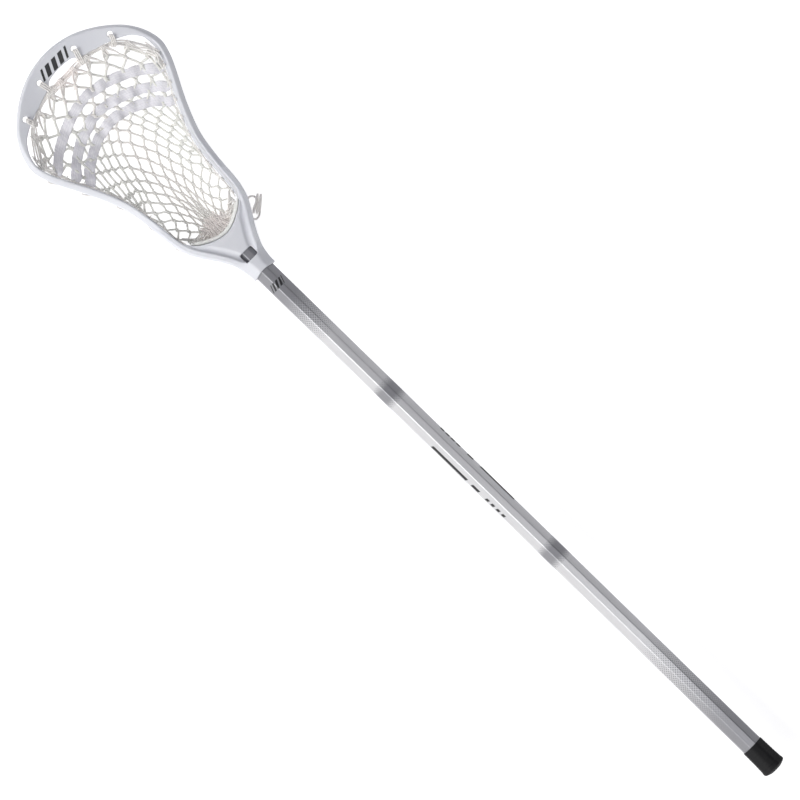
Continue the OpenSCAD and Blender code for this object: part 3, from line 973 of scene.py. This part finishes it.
# ---- shaft, butt cap and screw ----
def make_shaft():
    """The alloy tube with softly rounded corners and a print map of mm along it and round it."""
    wall = 1.5
    outer = grown_octagon(0.0, corner=0.9, steps=5)
    bore = grown_octagon(-wall, corner=0.6, steps=5)
    n = len(outer)
    stations = [SHAFT_START, SCREW_S - 6, SCREW_S + 6] + list(np.linspace(COLLAR_END, SHAFT_END, 40))
    rings = [ring_at(s, outer) for s in stations] + [ring_at(s, bore) for s in reversed(stations)]
    m = len(rings)
    shaft = mesh_object("shaft_tube", np.vstack(rings), wall_faces(m, n, closed=True))
    hole = rod((SCREW_S, 0, -15), (0, 0, 1), SCREW_HOLE_R, 20, 28)
    cut(shaft, [hole])
    remove(hole)
    # The map: place along, and place round from the middle of the front flat
    mesh = shaft.data
    around = np.arctan2(outer[:, 0], outer[:, 1])
    order = np.argsort(around)
    step = np.linalg.norm(np.diff(np.vstack((outer, outer[:1])), axis=0), axis=1)
    total = step.sum()
    ring_a, ring_p = around[order], outer[order]
    along = lengths(ring_p)
    zero = np.interp(0, ring_a, along)
    layer = mesh.uv_layers.new(name="print")
    uv = np.zeros((len(mesh.loops), 2), np.float32)
    for poly in mesh.polygons:
        for i in poly.loop_indices:
            v = mesh.vertices[mesh.loops[i].vertex_index].co
            w = np.interp(math.atan2(v.y, v.z - AXIS_Z), ring_a, along) - zero
            if w * poly.center.y < 0 and abs(w) > total / 4:
                w += total if w < 0 else -total
            uv[i] = ((TIP_X - v.x) / MM, w)
    layer.data.foreach_set("uv", uv.ravel())
    finished(shaft, "shaft_alloy", "stick", "shaft", weighted=True)


def make_cap():
    """The rubber cap: a thin lip, shallow grip rings, a flared flange and a domed end with a flat."""
    def outline(g, k):
        """From the shaft's outline grown by g to a circle of the flange as k goes to 1."""
        eight = grown_octagon(g, corner=2.4, steps=8)
        r = np.linalg.norm(eight, axis=1)
        return eight * (1 - k + k * 13.2 / r)[:, None]

    length = STICK_END - CAP_START
    rings = [ring_at(CAP_START + 0.5, grown_octagon(0.15, corner=1.2, steps=8)),
             ring_at(CAP_START, grown_octagon(0.35, corner=1.4, steps=8)),
             ring_at(CAP_START + 0.15, grown_octagon(0.6, corner=1.6, steps=8))]
    for t in np.linspace(0.02, 0.76, 60):
        s = CAP_START + length * t
        groove = 0.18 * smooth(math.sin((s - CAP_START) * 2 * math.pi / 3.2) * 3 - 1.6)
        groove *= 1.0 if 0.12 < t < 0.7 else 0.0
        rings.append(ring_at(s, outline(0.75 + 0.55 * t - groove, 0.35 * smooth((t - 0.45) / 0.35))))
    back = [(7.9, 12.75), (7.2, 12.75), (6.6, 12.9), (6.0, 13.1), (5.2, 13.2), (4.0, 13.2), (3.2, 13.0),
            (2.4, 12.2), (1.7, 10.9), (1.1, 9.4), (0.6, 8.0), (0.25, 6.9), (0.05, 6.1), (0, 5.6),
            (0.0, 2.0)]
    for before, r in back:
        eight = grown_octagon(1.2, corner=2.4, steps=8)
        k = r / np.linalg.norm(eight, axis=1)
        rings.append(ring_at(STICK_END - before, eight * k[:, None]))
    body = loft("butt_cap_rubber", rings)
    bore = loft("cutter", [ring_at(s, grown_octagon(0.14, corner=1.0, steps=8))
                           for s in (CAP_START - 2, STICK_END - 4)])
    cut(body, [bore])
    remove(bore)
    finished(body, "cap_rubber", "butt_cap", "butt_cap", weighted=True)


def make_screw():
    """Pan-head screw with a cross recess and a cut thread."""
    head_r, shank_r, sides = 4.0, 2.0, 40
    profile = [(SCREW_LOW, 0.6), (SCREW_LOW + 0.02, 2.2), (SCREW_LOW + 0.25, 3.2), (SCREW_LOW + 0.7, 3.8),
               (SCREW_LOW + 1.2, head_r), (SCREW_LOW + 1.75, head_r), (SCREW_LOW + 2.0, 3.85)]
    turn = circle(sides)

    def ring(z, r):
        return np.column_stack((SCREW_S + r * np.cos(turn), r * np.sin(turn), np.full(sides, z)))

    rings = [ring(z, r) for z, r in profile]
    start, pitch = SCREW_LOW + 2.0, 0.8
    for z in np.arange(start, SCREW_TOP - 0.01, pitch / 6):
        phase = (z - start) / pitch - turn / (2 * math.pi)
        ridge = np.abs((phase % 1) - 0.5) * 2
        grow = min(1.0, (z - start) / 1.0) * min(1.0, (SCREW_TOP - z) / 1.2)
        r = shank_r - 0.42 * ridge * grow - 0.5 * (1 - min(1.0, (SCREW_TOP - z) / 0.8 + 0.2))
        rings.append(ring(z, r))
    screw = loft("screw_panhead", rings)
    for a, b in ((2.3, 0.45), (0.45, 2.3)):
        blade = block((SCREW_S - a, -b, SCREW_LOW - 1), (SCREW_S + a, b, SCREW_LOW + 1.3))
        cut(screw, [blade])
        remove(blade)
    finished(screw, "screw_steel", "head_screw", "head_screw", weighted=True)


make_shaft()
make_cap()
make_screw()


# ---- ball stop pad ----
PAD_DEPTH = 2.1
PAD_HEIGHT = 12.4
PAD_MIDDLE = -3.4


def make_pad():
    """A crescent of foam along the ball stop, its edges rounded and its face a little uneven."""
    line = STOP[STOP[:, 0] > 236]
    line = np.vstack((line[::-1], line[1:] * [1, -1]))
    fine = spaced(np.column_stack((line, np.zeros(len(line)))), 1.2)
    t = unit(np.gradient(fine, axis=0))
    towards = np.column_stack((-np.abs(t[:, 1]), t[:, 0] * np.sign(t[:, 1]), np.zeros(len(t))))
    rings = []
    turn = circle(36)
    c, s = np.cos(turn), np.sin(turn)
    for i, p in enumerate(fine):
        end = min(1.0, 0.35 + 0.65 * min(i, len(fine) - 1 - i) / 5)
        depth, height = PAD_DEPTH * end, PAD_HEIGHT * (0.86 + 0.14 * end)
        lump = 0.18 * np.sin(i * 0.9 + 3 * s) + 0.12 * np.sin(i * 0.37 + 5 * turn)
        x = np.sign(c) * np.abs(c) ** 0.5 * (depth + lump * (c < 0))
        z = np.sign(s) * np.abs(s) ** 0.4 * height
        rise = np.array([0, 0, 1]) * (z[:, None] + PAD_MIDDLE)
        rings.append(p + towards[i] * (depth + 0.05 - x[:, None]) + rise)
    pad = loft("ball_stop_foam", rings)
    finished(pad, "pad_foam", "stick", "ball_stop_pad")


make_pad()


# ---- the net ----
CELLS = 10           # diamonds across the pocket
ROWS = 21            # rows of crossings from scoop to throat
NET_D = 2.35
# By row from the scoop: place of its middle, how far its sides trail it, and how its crossings spread
row_middle = through([[0, 28], [2, 44.6], [4, 67.5], [9, 111], [14, 170], [17, 204], [20, 236]])
row_trail = through([[0, 44], [2, 50], [4, 39], [7, 52], [10, 52], [12, 36], [14, 15], [17, 3],
                     [20, -8]])
row_bend = through([[0, 2.6], [2, 2.6], [4, 2], [7, 1.7], [10, 1.8], [12, 2], [20, 2]])
row_pitch = through([[0, 1.3], [2, 1.33], [4, 1], [6, 0.95], [9, 1.05], [13, 1.16], [14, 1.16],
                     [16, 0.86], [18, 0.56], [20, 0.4]])
row_flare = through([[0, -0.3], [2, -0.33], [4, 0], [9, 0.12], [13, 0.05], [14, 0.1], [15, 0.42],
                     [17, 0.6], [18, 0.75], [20, 1.1]])


def crossing(row, p):
    """Place of a crossing of the net: row counts from the scoop, p runs from -1 to 1 across. The outer
    ones of the later rows are held at the sidewall."""
    s = row_middle(row) + row_trail(row) * abs(p) ** row_bend(row)
    v = row_pitch(row) * p + row_flare(row) * p ** 3
    held = abs(v) > 0.97
    v = max(-1.0, min(1.0, v))
    return np.array([s, v * net_y(s), net_z(s, v)]), held


def lattice():
    """Each crossing's place by (row, column), and the set of those held at the sidewall."""
    nodes, at_wall = {}, set()
    for row in range(ROWS):
        half = row % 2 / 2
        for j in range(CELLS + 1 - row % 2):
            key = (row, 2 * j + row % 2)
            spot, held = crossing(row, (j + half) * 2 / CELLS - 1)
            if held:
                at_wall.add(key)
            else:
                spot[:2] += RNG.normal(0, 0.5 if row < 16 else 0.3, 2)
                spot[2] = net_height(spot[0], spot[1])
            nodes[key] = spot
    return nodes, at_wall


NODES, AT_WALL = lattice()


def twist(key, side):
    """Points of one strand through a crossing, wound once round its partner."""
    row, k = key
    node = NODES[key]
    before = [NODES[row - 1, q] for q in (k - 1, k + 1) if (row - 1, q) in NODES] or [node - [6, 0, 0]]
    later = [NODES[row + 1, q] for q in (k - 1, k + 1) if (row + 1, q) in NODES] or [node + [6, 0, 0]]
    t = unit(np.mean(later, axis=0) - np.mean(before, axis=0))
    across = unit(np.cross([0, 0, 1], t))
    up = np.cross(t, across)
    half = 2.6 if abs(k - CELLS) < CELLS else 1.4
    r = 0.46 * NET_D
    points = []
    for a in np.linspace(-1, 1, 9):
        turn = math.pi * (a + 1)
        points.append(node + t * half * a + r * side * (math.cos(turn) * across + math.sin(turn) * up))
    return points


def make_net():
    """Twenty zigzag strands that wind round each other where they meet and end at the sidewalls."""
    net = Strands()
    section = round_section(NET_D)
    for column in range(2 * CELLS):
        path = []
        last = False
        for row in range(1, ROWS):
            k = column + (column + row) % 2
            side = 1 if k == column else -1
            held = (row, k) in AT_WALL
            if held and last:
                add_strand(net, path, section)
                path = []
            here = twist((row, k), side)
            if held:
                here = here[3:6]
            if path:
                gone, to = path[-1], here[0]
                for t in (0.25, 0.5, 0.75):
                    wave = RNG.normal(0, 0.18, 3) * [1, 1, 0.6]
                    path.append(gone * (1 - t) + to * t + wave)
            path += here
            last = held
        add_strand(net, path, section)
    finished(net.made("diamond_net"), "mesh_cord", "stick", "pocket_mesh")


def add_strand(net, path, section):
    """Adds a strand if it is long enough, thicker by the scoop and thinner by the throat."""
    if len(path) > 12:
        path = np.array(path)
        width = np.interp(path[:, 0], [60, 110, 180, 215], [1.18, 1.04, 0.98, 0.84])
        net.add(path, section, width=width)


make_net()


# ---- strings ----
def wobble(path, size, every):
    """Small sideways wander along a line, a new one every few points, fixed at its ends."""
    n = len(path)
    k = max(4, n // every)
    offs = RNG.normal(0, size, (k, 3))
    offs[0] = offs[-1] = 0
    smooth_offs = curve(np.column_stack((np.arange(k), offs)), 8)[:, 1:]
    at = np.linspace(0, len(smooth_offs) - 1, n)
    return path + np.column_stack([np.interp(at, np.arange(len(smooth_offs)), smooth_offs[:, c])
                                   for c in range(3)])


def scoop_hole(s, y):
    """The inward direction at a scoop hole, how far in the plate's edge is, and that edge's height."""
    i = np.argmin(np.linalg.norm(EDGE - [s, y], axis=1))
    w = top_width(EDGE[i, 0])
    gone = np.linalg.norm(EDGE[i] - [s, y])
    return NORMALS[i], w - gone, top_z(EDGE[i, 0]) - 0.8 - 0.45 * (w - RIM_W)


# The line of the top string from the pocket's middle to the sidewall, as (s, y)
FRONT = [(31.4, 0), (31.4, 11), (31.3, 22), (32.8, 34), (36.5, 46), (42, 57), (50, 65), (60, 72),
         (70, 78), (79, 81)]


def front_line():
    """The top string's line from sidewall to sidewall."""
    half = [(s, y, 21.8 if y < 35 else net_height(s, min(y, net_y(s))) + 3.2) for s, y in FRONT]
    return curve([(s, -y, z) for s, y, z in half[:0:-1]] + half, 12)


def front_at(line, y):
    return line[np.argmin(np.abs(line[:, 1] - y))]


def make_top_string():
    """The string that ties the net to the scoop: a bundle of runs, loops through the scoop's holes, and
    doubled zigzags down to the net with a knot at each."""
    string = Strands()
    line = front_line()
    y = np.abs(line[:, 1])
    t = unit(np.gradient(line, axis=0))
    across = np.column_stack((t[:, 1], -t[:, 0], np.zeros(len(t))))
    gather = np.interp(y, [17, 24, 52, 62, 84], [1.0, 0.5, 0.45, 1.0, 1.25])
    place_along = np.linspace(0, 1, len(line))
    for n in range(4):
        weave = np.sin(place_along * 26 + n * 1.7)
        run = line + across * ((n - 1.5) * 1.75 * gather + 0.3 * weave)[:, None]
        run[:, 2] += 0.7 * np.cos(place_along * 34 + n * 2.3) + 0.5 * (n % 2)
        string.add(wobble(run, 0.16, 12), round_section(1.75))
    # Turns round the two ends of the bundle
    for middle in (-21.5, 19.5):
        turn = np.linspace(0, 3.4 * 2 * math.pi, 70)
        at = front_at(line, middle)
        string.add(at + np.column_stack((3.7 * np.cos(turn), (turn / turn[-1] - 0.5) * 5.6,
                                         0.2 + 2.0 * np.sin(turn))), round_section(1.6))
    # Loops from each scoop hole, over the plate's edge and round the string
    for s, y in SCOOP_HOLES:
        for side in (1, -1):
            inward, reach, lip = scoop_hole(s, y)
            inward = np.array([inward[0], side * inward[1], 0])
            sideways = np.array([-inward[1], inward[0], 0])
            hole = np.array([s, side * y, lip])
            near = front_at(line, side * (y - 2.5))
            gap = (near - hole) @ inward
            drop = near[2] - lip
            rise = 0.42 * reach
            for shift in (-1.9, 0, 1.9):
                at = [(0.8, -6), (0.9, -1.5), (1.5, rise + 0.2), (3.2, rise + 0.9), (reach - 1.4, 1.6),
                      (reach + 0.7, 0.7), (gap - 2.5, drop + 2.6), (gap + 1.6, drop + 2.3),
                      (gap + 3.6, drop), (gap + 1, drop - 2.4), (reach, -6.4), (2.5, -7), (0.8, -6)]
                k = np.linspace(0, 1, len(at))
                pull = ((near - hole) @ sideways) * np.sin(np.pi * k) ** 2
                points = [hole + inward * a + sideways * (shift * (0.55 if a < 1 else 1) + p) + [0, 0, z]
                          for (a, z), p in zip(at, pull)]
                string.add(wobble(curve(points, 6), 0.12, 8), round_section(1.6))
    # Zigzags: from the string by each crossing of the first row to the crossings either side of it below
    for j in range(CELLS):
        first = NODES[1, 2 * j + 1]
        top = front_at(line, first[1] * 1.06)
        for n in (-0.8, 0.8):
            turn = np.linspace(0, 2 * math.pi, 22)
            reach = (first - top)[0] / 2 + 2
            middle = (first + top) / 2 + [-1.0, n * 1.2, 1.0]
            loop = np.column_stack((reach * np.cos(turn), 0.6 * n * np.sin(turn), 2.3 * np.sin(turn)))
            string.add(middle + loop, round_section(1.5))
        for k in (2 * j, 2 * j + 2):
            if (2, k) not in NODES:
                continue
            node = NODES[2, k]
            lean = 1 if node[1] > first[1] else -1
            for n in (0.2, 1.9):
                points = [top + [-3.0, n * lean, -1.4], top + [-3.2, n * lean, 1.6],
                          top + [1.0, n * lean, 2.6],
                          (top + node) / 2 + [-0.9 + 0.5 * n, (n + RNG.normal(0, 0.25)) * lean * 0.9, 1.2],
                          node + [-1.5, -0.6 * n * lean, 1.5], node + [1.8, 0.2 * n * lean, 0.8],
                          node + [2.4, 0.4 * lean, -0.8]]
                string.add(curve(points, 6), round_section(1.6))
    for k in range(0, 2 * CELLS + 1, 2):
        node = NODES[2, k]
        string.add(overhand(node + [0.2, 0, 0.9], 3.4, (0, 1, 0)), round_section(1.35))
        for _ in range(3):
            start = node + [0.6, 0, 1.2]
            end = start + np.append(RNG.normal(0.6, 1.5, 2), 0.8)
            fray = curve([start, end, end + np.append(RNG.normal(0.6, 0.9, 2), 0.3)], 4)
            string.add(fray, round_section(0.8))
    for side in (1, -1):
        string.add(overhand((78, side * 80.0, 2.0), 5.5, (1, 0, 0)), round_section(1.6))
        end = np.array([79, side * 79, 3.0])
        for mid, tip in (((4, -1.5, 1.5), (8, -4.5, 0.5)), ((2, -3.5, 2.0), (5, -7, 0.8))):
            spare = curve([end, end + [mid[0], side * mid[1], mid[2]],
                           end + [tip[0], side * tip[1], tip[2]]], 6)
            string.add(spare, round_section(1.6))
    finished(string.made("scoop_lacing"), "lacing", "stick", "top_string")


def make_sidewall_string(name, node, side):
    """Running stitch through the lacing holes, with a knot round the net at each hole."""
    string = Strands()
    thick = round_section(1.7)
    path = [(64, net_y(64) + 1.0, low_z(64) + LACE_UP + 1)]
    for i, s in enumerate(LACE_HOLES):
        z = low_z(s) + LACE_UP
        out_y, in_y = edge_y(s) - LEAN + 0.3, inner_y(s) - 1.2
        first, second = (in_y, out_y) if i % 2 == 0 else (out_y, in_y)
        path += [(s - 2.4, first, z + 0.2), (s - 0.6, first * 0.7 + second * 0.3, z),
                 (s + 0.6, first * 0.3 + second * 0.7, z), (s + 2.4, second, z + 0.2)]
        if i + 1 < len(LACE_HOLES):
            mid = (s + LACE_HOLES[i + 1]) / 2
            y = edge_y(mid) - LEAN + 0.3 if i % 2 == 0 else inner_y(mid) - 1.2
            path.append((mid, y, low_z(mid) + LACE_UP + (0 if i % 2 == 0 else 0.8)))
    string.add(spaced(curve([(s, side * y, z) for s, y, z in path], 6), 1.4), thick)
    # The second string runs along the net's own edge
    s = np.linspace(62, 232, 120)
    sway = 0.5 * np.sin(s * 0.9)
    edge_line = np.column_stack((s, side * (inner_y(s) - 1.6 + 0.25 * sway),
                                 low_z(s) + LACE_UP + 1.5 + sway))
    string.add(edge_line, round_section(1.5))
    for s in LACE_HOLES:
        z = low_z(s) + LACE_UP
        string.add(overhand((s + 3, side * (inner_y(s) - 1.7), z + 1.4), 3.8, (1, 0, 0), (0, 1, 0)),
                   round_section(1.3))
        loop = np.linspace(0, 2 * math.pi, 18)
        ring = np.column_stack((s - 4 + 0.48 * np.cos(loop),
                                side * (inner_y(s) - 1.7 + 1.7 * np.cos(loop)),
                                z + 1.0 + 1.9 * np.sin(loop)))
        ring[:, 1] = np.minimum(np.abs(ring[:, 1]), inner_y(s) - 0.5) * side
        string.add(ring, round_section(1.1))
    finished(string.made(name), "lacing", "stick", node)


# Middles and sizes of the spare loops either side of the gathered net
SPARE_LOOPS = [((240.0, -22, -20.5), 5.0), ((243.5, -14.5, -17.5), 4.4), ((237.5, 19.5, -21), 4.8),
               ((242.5, 15, -18.8), 4.2), ((235.5, -26.5, -22), 3.8), ((236.5, 25.5, -22), 3.6),
               ((241.5, -18, -17), 4.0)]


def make_bottom_string():
    """String that gathers the net at the throat: runs along its end, a dense sheaf drawn up to the ball
    stop, and tangled spare loops either side."""
    string = Strands()
    v = np.linspace(-0.94, 0.94, 60)
    s = 245 - 24 * np.abs(v) ** 2.6
    for n, lift in enumerate((0.0, 1.3, 2.4)):
        line = np.column_stack((s + 1.4 - 0.8 * n, v * net_y(s), net_z(s, v) + lift))
        string.add(wobble(line, 0.45, 5), round_section(1.7))
    # The sheaf, in three layers of strands that turn back on themselves below the ball stop
    for layer, count in enumerate((16, 14, 14)):
        runs = []
        for q in np.linspace(-1, 1, count):
            fan = 13.5 * q + RNG.normal(0, 0.35)
            start = 226 + 2.5 * layer + 5 * abs(q) + RNG.normal(0, 1.6)
            top = RNG.normal(0, 0.7)
            runs.append([(start, fan * 1.05, net_height(start, 0) - 0.4 + 1.2 * layer),
                         (start + 6, fan * 0.86, net_height(start + 6, 0) + 0.8 + 1.3 * layer),
                         (238, fan * 0.80 + RNG.normal(0, 0.3), -23.6 + 1.6 * layer),
                         (243, fan * 0.88, -20.5 + 1.8 * layer),
                         (246.6, fan * 0.98, -15.5 + 2.0 * layer + top),
                         (247.7 - 0.06 * abs(fan), fan * 1.02, -11 + 2.2 * layer + top)])
        for one, two in zip(runs[::2], runs[1::2]):
            turn = (np.array(one[-1]) + two[-1]) / 2 + [-0.3, 0, 1.6]
            string.add(wobble(curve(one + [tuple(turn)] + two[::-1], 6), 0.16, 6), round_section(1.65))
    # Spare string in loose loops
    for middle, size in SPARE_LOOPS:
        t = np.linspace(0, 2 * math.pi * 2.6, 80)
        shake = RNG.uniform(0, 6, 3)
        loops = np.column_stack((np.sin(t + shake[0]) * size * 0.75, np.sin(1.31 * t + shake[1]) * size,
                                 0.9 + 1.8 * np.sin(0.77 * t + shake[2])))
        string.add(np.array(middle) + loops, round_section(1.6))
    finished(string.made("throat_lacing"), "lacing", "stick", "bottom_string")


LACE_W = 11.4
LACE_THICK = 1.5
# Number, then the place of its middle and of its two ends
SHOOTING_STRINGS = [(1, 57.5, 93), (2, 77, 111), (3, 92, 124)]


def make_shooting_string(name, node, middle, ends):
    """A flat woven lace that goes in and out of the net from sidewall to sidewall."""
    lace = Strands()
    v = np.linspace(-1, 1, 150)
    s = middle + (ends - middle) * np.abs(v) ** 1.7
    waves = np.cos(v * CELLS * math.pi + middle)
    lift = 1.5 + 1.0 * waves
    line = np.column_stack((s, v * (net_y(s) + 1.0), net_z(s, v * 0.985) + lift))
    line = wobble(line, 0.35, 10)
    roll = 0.22 * np.sin(v * 9 + middle) + 0.12 * np.sin(v * 23 + 2 * middle)
    t = unit(np.gradient(line, axis=0))
    normal = np.column_stack((np.full(len(v), 0.25), np.zeros(len(v)), np.ones(len(v))))
    normal = unit(normal - t * (normal * t).sum(1, keepdims=True))
    side = np.cross(t, normal)
    up = normal * np.cos(roll)[:, None] + side * np.sin(roll)[:, None]
    pinch = 1 - 0.13 * smooth(1 - np.abs(waves) * 3) - 0.35 * smooth((np.abs(v) - 0.93) / 0.07)
    lace.add(line, flat_section(LACE_W, LACE_THICK), up=up, width=pinch)
    finished(lace.made(name), "shooting_lace", "stick", node)


make_top_string()
make_sidewall_string("sidewall_lacing_left", "sidewall_string_left", 1)
make_sidewall_string("sidewall_lacing_right", "sidewall_string_right", -1)
make_bottom_string()
for number, middle, ends in SHOOTING_STRINGS:
    make_shooting_string(f"woven_lace_{number}", f"shooting_string_{number}", middle, ends)
